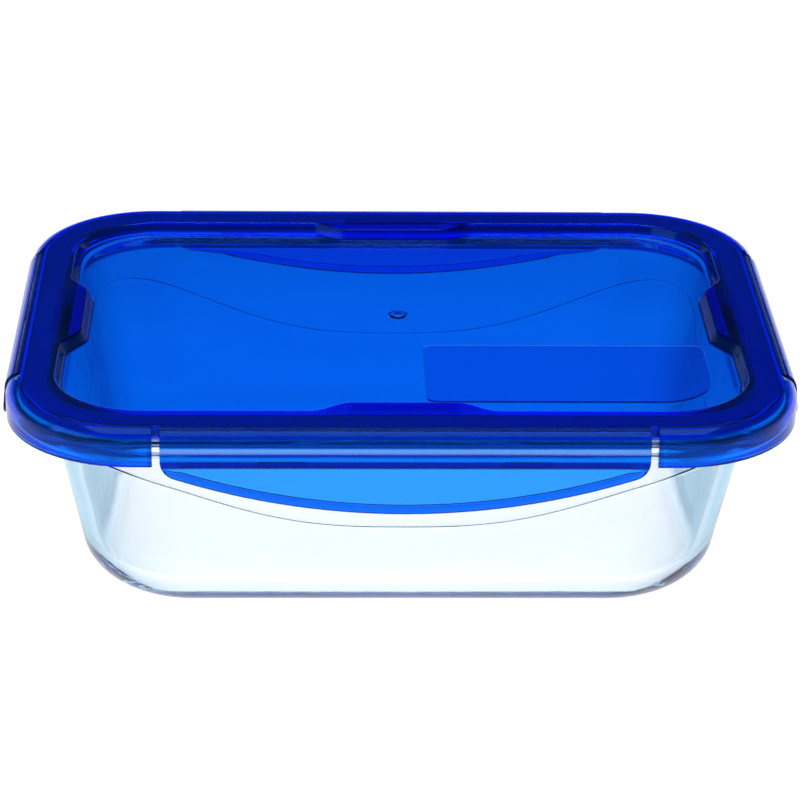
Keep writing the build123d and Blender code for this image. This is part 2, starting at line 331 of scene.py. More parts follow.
class Dish:
    """The pressed dish in the making: its rings run from the base up the outside, then down the inside."""

    def __init__(self):
        self.places = places_round(even_steps(64), even_steps(40), 24)
        self.skin = Skin(finish=CLEAR_GLASS)
        self.rows = []

    def add_ring(self, half_x, radius, z):
        """A level ring."""
        self.rows.append(self.skin.add(ring(self.places, half_x, radius, z)))

    def add_wave_ring(self, height, lift, finish=CLEAR_GLASS):
        """A ring on the wall: height turns the wave line's height into its own, and lift makes it proud."""
        points = []
        for place in self.places:
            z = height(wave_height(place))
            points.append(outline_point(place, wall_half(z) + lift * WAVE_STEP, DISH_CORNER_R, z))
        self.rows.append(self.skin.add(points, [finish] * len(points)))

    def add_base(self):
        """The flat base and the heel round it. Returns the heel's top."""
        base_flat = BASE_HALF_X - HEEL_R * HEEL_PULL
        outer_heel = heel(base_flat, 0, HEEL_R)
        for inwards in FLOOR_EDGE_INSETS:
            self.add_ring(base_flat - inwards, DISH_CORNER_R - wall_half(0) + base_flat - inwards, 0)
        for half_x, z in outer_heel:
            self.add_ring(half_x, DISH_CORNER_R - wall_half(z) + half_x, z)
        return outer_heel[-1][1]

    def add_wall(self, foot, top):
        """The wall, proud below the wave line by a small step that fades towards the heel."""
        step = WAVE_HALF_WIDTH
        for share, lift in ((0.15, 0.04), (0.35, 0.2), (0.55, 0.5), (0.75, 0.8), (0.9, 0.95), (0.97, 1.0)):
            self.add_wave_ring(lambda wave, s=share: foot + (wave - step - foot) * s, lift)
        for offset, lift in ((-step, 1.0), (-0.09, 0.85), (0.0, 0.2), (0.09, -0.1), (step, 0.0)):
            # the rings on the wave line carry the value that paints a dark shade line on it
            finish = WAVE_LINE if abs(offset) < step else CLEAR_GLASS
            self.add_wave_ring(lambda wave, o=offset: wave + o, lift, finish)
        for share in (0.08, 0.25, 0.45, 0.65, 0.85):
            self.add_wave_ring(lambda wave, s=share: wave + step + (top - wave - step) * s, 0.0)

    def add_flange(self, cove_foot):
        """The cove under the flange, then the flange's rounded edge and its top."""
        foot_half = wall_half(cove_foot)
        cove_half = wall_half(FLANGE_BOTTOM) + COVE_R * HEEL_PULL
        for k in range(7):
            angle = LEAN + (math.pi / 2 - LEAN) * k / 6
            half_x = cove_half - COVE_R * math.cos(angle)
            z = FLANGE_BOTTOM - COVE_R + COVE_R * math.sin(angle)
            self.add_ring(half_x, DISH_CORNER_R + half_x - foot_half, z)
        for inset, rise in ((0.8, 0.0), (0.35, 0.12), (0.08, 0.4), (0.0, 0.8)):
            self.add_ring(FLANGE_HALF_X - inset, FLANGE_CORNER_R - inset, FLANGE_BOTTOM + rise)
        for inset, drop in ((0.0, 1.3), (0.1, 0.75), (0.38, 0.36), (0.78, 0.1), (1.3, 0.0), (2.2, 0.0)):
            self.add_ring(FLANGE_HALF_X - inset, FLANGE_CORNER_R - inset, FLANGE_TOP - drop)

    def add_inside(self):
        """The mouth's rounded edge, the inner wall, the inner heel and the floor."""
        inner_r = DISH_CORNER_R - WALL_THICKNESS
        mouth = wall_half(FLANGE_TOP) - WALL_THICKNESS
        for outset, drop in ((2.2, 0.0), (1.3, 0.0), (0.75, 0.1), (0.35, 0.37), (0.08, 0.78)):
            self.add_ring(mouth + outset, inner_r + outset, FLANGE_TOP - drop)
        inner_flat = wall_half(FLOOR_THICKNESS) - WALL_THICKNESS - INNER_HEEL_R * HEEL_PULL
        inner_heel = heel(inner_flat, FLOOR_THICKNESS, INNER_HEEL_R)
        mouth_z = FLANGE_TOP - 1.4
        steps = 10
        for k in range(steps):
            z = mouth_z + (inner_heel[-1][1] - mouth_z) * k / steps
            self.add_ring(wall_half(z) - WALL_THICKNESS, inner_r, z)
        for half_x, z in reversed(inner_heel):
            self.add_ring(half_x, inner_r - (wall_half(z) - WALL_THICKNESS) + half_x, z)
        for inwards in reversed(FLOOR_EDGE_INSETS):
            half_x = inner_flat - inwards
            radius = inner_r - (wall_half(FLOOR_THICKNESS) - WALL_THICKNESS) + half_x
            self.add_ring(half_x, radius, FLOOR_THICKNESS)


def make_dish():
    """The pressed dish: heel, leaning wall with its wavy relief, cove, thick flange, and the inside."""
    dish = Dish()
    cove_foot = FLANGE_BOTTOM - COVE_R * (1 - math.sin(LEAN))
    heel_top = dish.add_base()
    dish.add_wall(heel_top, cove_foot)
    dish.add_flange(cove_foot)
    dish.add_inside()
    dish.skin.bridge_all(dish.rows)
    dish.skin.fill_flat(dish.rows[0])
    dish.skin.fill_flat(dish.rows[-1])
    return dish.skin.to_object("dish_glass", smooth_angle=60)


# ------------------------------------------------------------------ lid shell
def bump_push(distance):
    """How far the recess edge is pressed inwards at this distance from the middle of a side."""
    return BUMP_REACH * (1 - smoothstep(BUMP_TOP / 2 - 0.6, BUMP_BASE / 2 + 0.6, abs(distance)))


def crown_z(inset):
    """Height of the rounded shoulder at this inset."""
    return LID_TOP - CROWN_R + math.sqrt(CROWN_R**2 - (CROWN_R - inset) ** 2)


def rounded_outline(centre, size, radii, grow):
    """A rectangle grown by an amount. Its corners' radii run counter-clockwise from the front right."""
    steps = 8
    outline = []
    corners = ((1, -1, -90), (1, 1, 0), (-1, 1, 90), (-1, -1, 180))
    for (side_x, side_y, start), radius in zip(corners, radii):
        for k in range(steps + 1):
            angle = math.radians(start + 90 * k / steps)
            x = centre[0] + side_x * (size[0] / 2 - radius) + (radius + grow) * math.cos(angle)
            y = centre[1] + side_y * (size[1] / 2 - radius) + (radius + grow) * math.sin(angle)
            outline.append((x, y))
    return outline


def lid_ring(places, inset, z):
    """A ring that follows the lid's outline."""
    return ring(places, LID_HALF_X - inset, LID_CORNER_R - inset, z)


def recess_ring(places, inset, z):
    """A ring that follows the recess's outline, with its bumps."""
    return ring(places, LID_HALF_X - RECESS_INSET - inset, RECESS_CORNER_R - inset, z, bump_push)


def plug_ring(places, inset, z):
    """A ring that follows the plug under the panel, which is solid below the bumps."""
    return ring(places, LID_HALF_X - PLUG_INSET - inset, RECESS_CORNER_R + SKIRT_WALL - inset, z)


def lid_top_rows(skin, places):
    """Rows over the rim, from the flaps' cut inwards, and down the step to the panel."""
    panel = LID_TOP - RECESS_DEPTH
    rim = [(inset, crown_z(inset)) for inset in (CUT_INSET, 4.1)]
    rim += [(inset, LID_TOP) for inset in (CROWN_R, 6.0, 8.5)]
    foot = RECESS_SLOPE_WIDTH
    step = [
        (-1.2, LID_TOP), (-0.6, LID_TOP), (-0.28, LID_TOP - 0.05), (-0.05, LID_TOP - 0.2),
        (0.1, LID_TOP - 0.45), (foot - 0.2, panel + 0.6), (foot, panel + 0.26),
        (foot + 0.2, panel + 0.07), (foot + 0.55, panel), (foot + 1.2, panel),
    ]
    rows = [skin.add(lid_ring(places, inset, z)) for inset, z in rim]

    # one row between the two sets, where the bumps start to swell
    outset = 1.35
    half_x = LID_HALF_X - RECESS_INSET + outset
    swell = ring(places, half_x, RECESS_CORNER_R + outset, LID_TOP, lambda x: 0.35 * bump_push(x))
    rows.append(skin.add(swell))
    return rows + [skin.add(recess_ring(places, inset, z)) for inset, z in step]


def fill_panel(skin, edge_row):
    """The panel's flat top, with the gate mark and the writing patch standing slightly proud."""
    panel = LID_TOP - RECESS_DEPTH
    loops = []
    gate = (
        (3.6, 0), (2.75, 0), (2.6, -0.03), (2.45, -0.18), (2.25, -0.18), (GATE_R, 0.02),
        (GATE_R - 0.2, GATE_HEIGHT - 0.25), (1.7, GATE_HEIGHT - 0.2), (1.2, 0.2), (0.6, 0.12),
    )
    angles = [2 * math.pi * k / 28 for k in range(28)]
    for radius, rise in gate:
        circle = [(radius * math.cos(a), GATE_Y + radius * math.sin(a), panel + rise) for a in angles]
        loops.append(skin.add(circle))
    for grow, rise in ((0.5, 0), (0.15, 0), (-0.1, PATCH_RELIEF), (-0.5, PATCH_RELIEF)):
        outline = rounded_outline(PATCH_CENTRE, PATCH_SIZE, PATCH_RADII, grow)
        loops.append(skin.add([(x, y, panel + rise) for x, y in outline]))
    skin.fill_flat(edge_row, *loops)


def lid_under_rows(skin, places):
    """Rows under the rim: two ribs with the gasket's channel between them, then the plug and the panel."""
    rib = CHANNEL_TOP - CHANNEL_RIB_DEPTH
    panel = LID_TOP - RECESS_DEPTH - PANEL_THICKNESS
    ribs = [
        (CUT_INSET, rib + 0.2), (CUT_INSET + 0.2, rib),
        (CHANNEL_OUTER - 0.2, rib), (CHANNEL_OUTER, rib + 0.2), (CHANNEL_OUTER, CHANNEL_TOP),
        (CHANNEL_INNER, CHANNEL_TOP), (CHANNEL_INNER, rib + 0.1), (CHANNEL_INNER + 0.1, rib),
    ]
    plug = [(0.0, rib - 0.05), (0.0, panel + 0.4), (0.12, panel + 0.12), (0.4, panel)]
    plug += [(inset, panel) for inset in (2.5, 3.0, 4.6, 6.2, 7.8, 8.2)]
    rows = [skin.add(lid_ring(places, inset, z)) for inset, z in ribs]
    return rows + [skin.add(plug_ring(places, inset, z)) for inset, z in plug]


def skirt_profile():
    """The corner skirt's section as (inset, z): shoulder, outer face, bottom, lip, and back up inside."""
    steps = 9
    inner_r = CROWN_R - SKIRT_WALL
    profile = []
    for k in range(1, steps + 1):
        start = math.asin((CROWN_R - CUT_INSET) / CROWN_R)
        angle = start + (math.pi / 2 - start) * k / steps
        profile.append((CROWN_R - CROWN_R * math.sin(angle), LID_TOP - CROWN_R + CROWN_R * math.cos(angle)))
    lip = [
        (0.0, 0.6), (0.0, 0.35), (0.12, 0.12), (0.4, 0.0), (1.35, 0.0), (1.7, 0.15),
        (1.8, 0.5), (1.7, 0.9), (SKIRT_WALL, 1.3), (SKIRT_WALL, 3.0),
    ]
    profile += [(inset, SKIRT_BOTTOM + rise) for inset, rise in lip]
    for k in range(steps + 1):
        end = math.asin((CROWN_R - CUT_INSET) / inner_r)
        angle = math.pi / 2 + (end - math.pi / 2) * k / steps
        profile.append((CROWN_R - inner_r * math.sin(angle), LID_TOP - CROWN_R + inner_r * math.cos(angle)))
    return profile


def cut_steps():
    """Where a flap's place ends along each side, and the steps along a side with points at those cuts."""
    cuts = {}
    steps = {}
    for pair, half, count in (("long", LID_HALF_X, 72), ("short", LID_HALF_Y, 56)):
        straight = half - LID_CORNER_R
        cut = (FLAP_HALF_LENGTH[pair] + FLAP_END_GAP) / straight
        beside_cut = cut + EDGE_R / straight
        clear = [t for t in even_steps(count) if abs(abs(t) - cut) > 0.012]
        extra = [-1.0, 1.0, -cut, cut]
        if beside_cut < 1.0:
            extra += [-beside_cut, beside_cut]
        cuts[pair] = cut
        steps[pair] = sorted(set(clear + extra))
    return cuts, steps


def add_skirts(skin, places, cuts, top_row, under_row):
    """Corner skirts from the rim round to the outer rib, each ending in a face where a flap begins."""
    tiny = 1e-9
    profile = skirt_profile()
    skirt_rows = [skin.add(lid_ring(places, inset, z)) for inset, z in profile]
    around = [top_row] + skirt_rows + [under_row]
    section = [(CUT_INSET, crown_z(CUT_INSET))] + profile + [(CUT_INSET, skin.points[under_row[0]].z)]
    rounded = shrunk(section, EDGE_R * 0.6)
    for i, place in enumerate(places):
        side, t, turn = place
        cut = cuts[SIDES[side][2]]
        at_cut = not turn and abs(abs(t) - cut) < tiny
        if at_cut:
            for row, (inset, z) in zip(skirt_rows, rounded[1:-1]):
                skin.points[row[i]] = outline_point(place, LID_HALF_X - inset, LID_CORNER_R - inset, z)
            skin.faces.append(tuple(row[i] for row in around))
        j = (i + 1) % len(places)
        next_side, next_t, next_turn = places[j]
        both_straight = side == next_side and not turn and not next_turn
        beside_flap = both_straight and max(abs(t), abs(next_t)) < cut + tiny
        if beside_flap:
            skin.faces.append((top_row[i], top_row[j], under_row[j], under_row[i]))
        else:
            for row, next_row in zip(around, around[1:]):
                skin.faces.append((row[i], row[j], next_row[j], next_row[i]))


def lid_finish_and_painted_shade(point):
    """The lid's finish at a point: clear panel, satin rim and skirts, writing patch, or solid bumps; the
    bumps, the plug under them and the step's foot get painted shade.
    """
    panel = LID_TOP - RECESS_DEPTH

    # the patch, and the rounded foot of the step, which lies at the same height and takes the patch's darker
    # tint as painted shade
    raised = PATCH_RELIEF / 2 < point.z - panel < 2 * PATCH_RELIEF
    if raised and abs(point.x) > GATE_CLEARANCE:
        return PATCH_AND_PAINTED_STEP_SHADE
    long_side = LID_HALF_Y - abs(point.y) < LID_HALF_X - abs(point.x)
    inset = LID_HALF_Y - abs(point.y) if long_side else LID_HALF_X - abs(point.x)
    push = bump_push(point.x if long_side else point.y)
    depth = inset - RECESS_INSET
    solid_below = point.z < panel - 1 and -1.6 < depth < RECESS_SLOPE_WIDTH + push + 0.3
    on_bump = point.z > panel + 1 and push > 1 and depth > 0.3
    # painted shade: the bumps and the plug under them take the deep navy tint
    if solid_below or on_bump:
        return DEEP_PAINTED_SHADE
    return PANEL if point.z < panel + 1 and depth > RECESS_SLOPE_WIDTH else SATIN


def make_lid_shell():
    """The lid moulding: recessed panel with its bumps, rim, corner skirts, and the channel underneath."""
    cuts, steps = cut_steps()
    places = places_round(steps["long"], steps["short"], 20)
    skin = Skin()
    top_rows = lid_top_rows(skin, places)
    under_rows = lid_under_rows(skin, places)
    skin.bridge_all(top_rows)
    skin.bridge_all(under_rows)
    fill_panel(skin, top_rows[-1])
    skin.fill_flat(under_rows[-1])
    add_skirts(skin, places, cuts, top_rows[0], under_rows[0])
    skin.finishes_and_painted_light = [lid_finish_and_painted_shade(point) for point in skin.points]
    return skin.to_object("lid_moulding", smooth_angle=38)


# ------------------------------------------------------------------ gasket
def make_gasket():
    """The silicone ring: a flat back in the channel and two rounded lips on the glass."""
    places = places_round(even_steps(24), even_steps(16), 20)
    back = gasket_high.z - 0.03
    web = gasket_low.z + 1.5
    tip = gasket_low.z + 0.02
    half_width = (CHANNEL_INNER - CHANNEL_OUTER) / 2 - 0.03
    middle = (CHANNEL_INNER + CHANNEL_OUTER) / 2
    from_side = [
        (0.0, web + 0.3), (0.25, web), (0.55, web - 0.1), (0.7, web - 0.6), (0.85, tip + 0.3),
        (1.15, tip), (1.65, tip), (1.95, tip + 0.3), (2.1, web - 0.6), (2.35, web),
    ]
    lip = [(half_width - x, z) for x, z in from_side]
    profile = [(-half_width + 0.2, back), (-half_width, back - 0.2)]
    profile += [(-x, z) for x, z in lip] + list(reversed(lip))
    profile += [(half_width, back - 0.2), (half_width - 0.2, back)]
    skin = Skin()
    rows = [skin.add(lid_ring(places, middle + x, z)) for x, z in profile]
    skin.bridge_all(rows + rows[:1])
    return skin.to_object("gasket_ring", smooth_angle=70)


# ------------------------------------------------------------------ flaps and hinges
def hinge_of(side):
    """A flap's joint: a point on its axis in millimetres, its direction, and the angle it rests open."""
    joint = next(j for j in frame["joints"] if j["child"] == f"{side}_flap")
    return Vector(joint["pos_m"]) / MM, Vector(joint["axis"]), -math.radians(joint["range_deg"][0])


def from_hinge(side, x, section, angle):
    """A section's (out, up) points at a distance along the hinge, turned open by an angle."""
    position, axis, _ = hinge_of(side)
    out, along, _ = SIDES[side]
    turn = Matrix.Rotation(angle, 3, axis)
    return [position + turn @ (along * x + out * u + UP * v) for u, v in section]


def tab_edge(x, pair):
    """Height of the flap's lower edge at x: a long arc that turns up round the corners."""
    half = FLAP_HALF_LENGTH[pair]
    sagitta = TAB_SAGITTA[pair]
    arc_r = (half**2 + sagitta**2) / (2 * sagitta)
    centre_up = TAB_END_UP - sagitta + arc_r
    corner_x = half - TAB_CORNER_R
    corner_up = centre_up - math.sqrt((arc_r - TAB_CORNER_R) ** 2 - corner_x**2)
    if abs(x) > corner_x * arc_r / (arc_r - TAB_CORNER_R):
        return corner_up - math.sqrt(max(0.0, TAB_CORNER_R**2 - (abs(x) - corner_x) ** 2))
    return centre_up - math.sqrt(arc_r**2 - x**2)


def shoulder_rows():
    """The crowned shoulder, from the hinge down, as (outer out, outer up, inner out, inner up)."""
    steps = 8
    centre_out = FLAP_OUT - CROWN_R
    centre_up = LID_TOP - CROWN_R - hinge_of("front")[0].z
    rows = []
    for k in range(steps + 1):
        row = []
        for radius in (CROWN_R, CROWN_R - SKIRT_WALL):
            start = math.asin((FLAP_START + 0.12 - centre_out) / radius)
            angle = start + (math.pi / 2 - start) * k / steps
            row += [centre_out + radius * math.sin(angle), centre_up + radius * math.cos(angle)]
        rows.append(row)

    # one more row above them takes the corners off
    corner = [FLAP_START, rows[0][1] - 0.05, FLAP_START, rows[0][3] + 0.2]
    return [corner] + rows


def ledge_rows(x, pair, tab_out, tab_in):
    """The face, and the ledge that stiffens it, which reaches further in at the lugs."""
    inner_face = FLAP_OUT - SKIRT_WALL
    half = FLAP_HALF_LENGTH[pair]
    ends = smoothstep(half - 5.5, half - 4.0, abs(x))
    beyond_lug = abs(abs(x) - LUG_OFFSET[pair]) - LUG_HALF_LENGTH
    reach = LEDGE_OUT + (LUG_OUT - LEDGE_OUT) * (1 - smoothstep(-LUG_END_BLEND, 0.0, beyond_lug))
    depth = (inner_face - reach) * (1 - ends)
    rows = [[FLAP_OUT, v, inner_face, v] for v in (-4.0, -5.0, -6.0, -7.0, -7.6)]

    # share of the way back to the tab's face and height outside, share of the ledge's depth and height inside
    for out_share, out_up, in_share, in_up in (
        (0.0, -7.9, 0.0, -7.93), (0.0, -8.1, 0.86, -7.98), (0.0, -8.3, 1.0, -8.1),
        (0.0, -8.62, 1.0, -8.8), (0.2, -8.83, 0.84, -8.93), (0.7, -8.95, 0.2, -8.97),
        (1.0, -9.12, 0.0, -9.12),
    ):
        out = FLAP_OUT + (tab_out - FLAP_OUT) * out_share
        rows.append([out, out_up, inner_face - depth * in_share, in_up])
    rows[-1][2] = tab_in
    return rows


def tab_rows(edge, room, tab_out, tab_in):
    """The thin tab, then the bead along its lower edge, which is flatter where there is less room."""
    bead = max(0.15, room)
    bead_top = edge + BEAD_HEIGHT * bead
    steps = 7
    rows = []
    for k in range(steps + 1):
        v = LEDGE_END_UP + (bead_top - LEDGE_END_UP) * k / steps
        rows.append([tab_out, v, tab_in, v])
    rises = (2.0, 1.8, 1.1, 0.5, 0.25, 0.1, 0.03, 0.0)
    for rise in rises:
        share = 0.75 if rise == rises[0] else 1.0
        close = arc_sag(BEAD_EDGE_R, max(0.0, BEAD_EDGE_R - rise))
        outer = tab_out + TAB_SETBACK * share * room - close
        inner = tab_in - BEAD_SWELL * share * room + close
        v = edge + rise * bead
        rows.append([outer, v, inner, v])
    return rows


def flap_section(x, pair):
    """A flap's closed section at x, as (out, up) points: down the outside and back up the inside."""
    edge = tab_edge(x, pair)
    inner_face = FLAP_OUT - SKIRT_WALL
    room = min(1.0, max(0.0, (LEDGE_END_UP - edge) / TAB_BLEND_HEIGHT))
    tab_out = FLAP_OUT - TAB_SETBACK * room
    tab_in = inner_face + (FLAP_OUT - TAB_SETBACK - TAB_THICKNESS - inner_face) * room
    rows = shoulder_rows() + ledge_rows(x, pair, tab_out, tab_in) + tab_rows(edge, room, tab_out, tab_in)

    # where the edge rises past the rows above it, they are pressed together over it
    squeezed = 0.02
    for upper, lower in zip(reversed(rows[:-1]), reversed(rows[1:])):
        upper[1] = max(upper[1], lower[1] + squeezed)
        upper[3] = max(upper[3], lower[3] + squeezed)
    return [(r[0], r[1]) for r in rows] + [(r[2], r[3]) for r in reversed(rows)]


def flap_finish_and_painted_light(up):
    """A flap's finish at a height: a painted highlight band high on its face, painted shade at the ledge, and
    a lighter painted sheen on the tab.
    """
    if up < LEDGE_END_UP + 0.1:
        return TAB
    # painted shade on the ledge, below the face
    if up < -7.5:
        return LEDGE_PAINTED_SHADE
    # painted highlight band high on the face
    return PAINTED_HIGHLIGHT if -5.1 < up < -3.9 else SATIN


def flap_places(pair):
    """Places along a flap: even, closer round its ends, and at the lugs' ends."""
    half = FLAP_HALF_LENGTH[pair]
    middle = half - TAB_CORNER_R - 0.5
    places = [middle * t for t in even_steps(56)]
    places += [half - TAB_CORNER_R * (1 - math.sin(math.pi / 2 * k / 14)) for k in range(15)]
    for lug_end in (LUG_OFFSET[pair] - LUG_HALF_LENGTH, LUG_OFFSET[pair] + LUG_HALF_LENGTH):
        places += [lug_end + step for step in (-LUG_END_BLEND, -0.18, 0.0, 0.18, LUG_END_BLEND)]
    one_side = sorted(abs(x) for x in places)
    spaced = [x for x, before in zip(one_side, [-1.0] + one_side) if x - before > 0.03]
    return [-x for x in reversed(spaced) if x > 0] + spaced


def sweep(skin, rows):
    """Closes a body swept through sections whose second half runs back beside the first."""
    skin.bridge_all(rows)
    half = len(rows[0]) // 2
    for end in (rows[0], rows[-1]):
        for a, b, c, d in zip(end[:half], end[1:half], reversed(end[half:-1]), reversed(end[half:])):
            skin.faces.append((a, b, c, d))


def make_flap(side):
    """One clip flap: crowned shoulder, face, ledge with two lugs, and a thin tab with a beaded edge."""
    pair = SIDES[side][2]
    half = FLAP_HALF_LENGTH[pair]
    rest = hinge_of(side)[2]
    skin = Skin()
    rows = []
    for x in flap_places(pair):
        rounding = arc_sag(EDGE_R, max(0.0, EDGE_R - (half - abs(x))))
        section = flap_section(x, pair)
        outline = shrunk(section, rounding) if rounding else section
        rows.append(skin.add(from_hinge(side, x, outline, rest), [flap_finish_and_painted_light(up) for _, up in section]))
    sweep(skin, rows)
    return skin.to_object(f"{side}_clip_flap", smooth_angle=45)


def make_hinge(side):
    """The living hinge's web, flush with the lid's top, from the lid's cut edge to the flap."""
    half = FLAP_HALF_LENGTH[SIDES[side][2]] - WEB_END_GAP
    top = [
        (-0.98, 0.84), (-0.75, 0.78), (-0.5, 0.7), (-0.25, 0.62), (-0.05, 0.55), (0.1, 0.47), (0.2, 0.38),
        (0.3, 0.37), (0.38, 0.42),
    ]
    under = [(u, -0.35) for u in (-0.98, -0.75, -0.5, -0.25, -0.05, 0.1, 0.2, 0.3, 0.42)]
    section = top + list(reversed(under))
    skin = Skin()
    # painted shade: the web takes the deep navy tint
    dark = [DEEP_PAINTED_SHADE] * len(section)
    rows = [skin.add(from_hinge(side, half * t, section, 0.0), dark) for t in even_steps(24)]
    sweep(skin, rows)
    return skin.to_object(f"{side}_hinge_web", smooth_angle=50)


# ------------------------------------------------------------------ materials
def colour_sockets(mix):
    """A colour mix's two inputs and its result, among the other kinds' sockets of the same names."""
    mix.data_type = "RGBA"
    first, second = [socket for socket in mix.inputs if socket.type == "RGBA"]
    result = next(socket for socket in mix.outputs if socket.type == "RGBA")
    return first, second, result


class Nodes:
    """A material's node tree, with short ways to add and join nodes."""

    def __init__(self, name):
        self.material = bpy.data.materials.new(name)
        self.material.use_nodes = True
        self.tree = self.material.node_tree
        self.tree.nodes.clear()
        self.output = self.add("ShaderNodeOutputMaterial")
        self.place = self.add("ShaderNodeTexCoord").outputs["Object"]

    def add(self, kind, inputs=None, **settings):
        """Adds a node; an input is set to a value or joined to another node's output."""
        node = self.tree.nodes.new(kind)
        for key, value in settings.items():
            setattr(node, key, value)
        for key, value in (inputs or {}).items():
            if isinstance(value, bpy.types.NodeSocket):
                self.tree.links.new(value, node.inputs[key])
            else:
                node.inputs[key].default_value = value
        return node

    def noise(self, scale, detail=4.0, stretch=(1, 1, 1)):
        """Noise in the object's own space: scale is in features per metre."""
        mapping = self.add("ShaderNodeMapping", {"Vector": self.place, "Scale": stretch})
        inputs = {"Vector": mapping.outputs["Vector"], "Scale": scale, "Detail": detail}
        return self.add("ShaderNodeTexNoise", inputs).outputs["Fac"]

    def ramp(self, value, low, high, to_low, to_high):
        """Maps a value's range on to another, held at both ends."""
        inputs = {"Value": value, "From Min": low, "From Max": high, "To Min": to_low, "To Max": to_high}
        return self.add("ShaderNodeMapRange", inputs).outputs["Result"]

    def mix(self, factor, low, high):
        """Mixes two colours."""
        node = self.add("ShaderNodeMix")
        first, second, result = colour_sockets(node)
        self.tree.links.new(factor, node.inputs["Factor"])
        for value, socket in ((low, first), (high, second)):
            if isinstance(value, bpy.types.NodeSocket):
                self.tree.links.new(value, socket)
            else:
                socket.default_value = value
        return result

    def math(self, operation, *values):
        """One sum on values or other nodes' outputs."""
        return self.add("ShaderNodeMath", dict(enumerate(values)), operation=operation).outputs[0]

    def bump(self, height, distance, strength, below=None):
        """A bump from a height, over another bump if one is given; distance is in metres."""
        inputs = {"Height": height, "Distance": distance, "Strength": strength}
        if below is not None:
            inputs["Normal"] = below
        return self.add("ShaderNodeBump", inputs).outputs["Normal"]

    def scratches(self, scale, thin, turn):
        """Fine straight marks: a stretched cell pattern, turned, where 1 is a mark."""
        placing = {"Vector": self.place, "Rotation": (0, 0, turn), "Scale": (1, 14, 1)}
        mapping = self.add("ShaderNodeMapping", placing)
        inputs = {"Vector": mapping.outputs["Vector"], "Scale": scale}
        cells = self.add("ShaderNodeTexVoronoi", inputs, feature="DISTANCE_TO_EDGE").outputs["Distance"]
        return self.ramp(cells, 0.0, thin, 1.0, 0.0)

    def finish(self, shader, volume=None):
        """Joins the shader and volume to the output and returns the material."""
        self.tree.links.new(shader.outputs[0], self.output.inputs["Surface"])
        if volume:
            self.tree.links.new(volume.outputs[0], self.output.inputs["Volume"])
        return self.material


def plastic_colour(n, finish):
    """The plastic's tint: slow mottling, then a tint for each finish, from a pale painted highlight through
    the writing patch's blue to a deep navy painted shade.
    """
    flow = n.noise(22, detail=3, stretch=(0.35, 1, 1))
    mottle = n.ramp(flow, 0.35, 0.7, 0, 1)
    panel = n.mix(mottle, (0.01, 0.72, 0.90, 1), (0.02, 0.84, 0.95, 1))
    satin = n.mix(mottle, (0.04, 0.76, 0.96, 1), (0.08, 0.86, 1.0, 1))
    colour = n.mix(n.ramp(finish, 0.1, 0.4, 0, 1), panel, satin)
    # the writing patch's darker blue, also painted as shade on the foot of the recess step
    colour = n.mix(n.ramp(finish, 0.6, 0.9, 0, 1), colour, (0.01, 0.50, 0.84, 1))
    # painted shade: deep navy on the bumps, the plug under them, the hinge webs and the flaps' ledges
    colour = n.mix(n.ramp(finish, 1.3, 1.9, 0, 1), colour, (0.0, 0.06, 0.42, 1))
    # painted highlight: pale on the flaps' faces, and partly on the tabs as a painted sheen
    return n.mix(n.ramp(finish, -0.9, 0.0, 1, 0), colour, (0.62, 0.97, 1.0, 1))


def plastic_roughness(n, finish):
    """Polished on the panel and satin elsewhere, with fine variation and a few faint scratches."""
    faint = n.ramp(n.noise(18), 0.5, 0.7, 0, 1)
    wear = n.math("MULTIPLY", n.scratches(55, 0.006, 0.5), faint)
    gloss = n.ramp(finish, 0.0, 1.0, 0.008, 0.16)
    variation = n.ramp(n.noise(140, detail=5), 0.3, 0.7, -0.008, 0.016)
    return n.math("MULTIPLY_ADD", wear, 0.12, n.math("ADD", variation, gloss))


def lid_plastic():
    """Clear blue moulded polypropylene, deep blue where it is thick, with a painted highlight and painted
    shade in its tint.
    """
    n = Nodes("lid_plastic")
    finish = n.add("ShaderNodeAttribute", attribute_name="finish").outputs["Fac"]
    clarity = n.ramp(n.noise(9, detail=2), 0.3, 0.75, 0.98, 0.99)
    # less clear on the pale painted highlight band, so that it reads lighter
    less_clear_for_painted_highlight = n.ramp(finish, -0.9, -0.45, 0.75, 1)
    waves = n.bump(n.noise(30, detail=1), 0.0001, 0.15)
    grain = n.bump(n.noise(2600, detail=2), 0.000001, 0.4, below=waves)
    shader = n.add(
        "ShaderNodeBsdfPrincipled",
        {
            "Base Color": plastic_colour(n, finish),
            "Transmission Weight": n.math("MULTIPLY", clarity, less_clear_for_painted_highlight),
            "Roughness": plastic_roughness(n, finish),
            "IOR": 1.49,
            "Specular IOR Level": 0.12,
            "Specular Tint": (0.08, 0.35, 1.0, 1),
            "Normal": grain,
        },
    )
    volume = n.add("ShaderNodeVolumeAbsorption", {"Color": (0.0, 0.56, 0.991, 1), "Density": 2250.0})
    return n.finish(shader, volume)


def gasket_silicone():
    """Soft dark blue silicone, satin, with faint dust and moulding texture."""
    n = Nodes("gasket_silicone")
    cloud = n.noise(35, detail=4)
    colour = n.mix(n.ramp(cloud, 0.3, 0.7, 0, 1), (0.0, 0.05, 0.78, 1), (0.002, 0.07, 0.92, 1))
    dust = n.ramp(n.noise(900, detail=2), 0.68, 0.8, 0, 0.1)
    colour = n.mix(dust, colour, (0.12, 0.2, 0.5, 1))
    rough = n.ramp(n.noise(300), 0.3, 0.7, 0.42, 0.58)
    relief = n.bump(n.noise(1500, detail=3), 0.00001, 0.5)
    shader = n.add(
        "ShaderNodeBsdfPrincipled",
        {"Base Color": colour, "Roughness": rough, "IOR": 1.41, "Sheen Weight": 0.15, "Normal": relief},
    )
    return n.finish(shader)


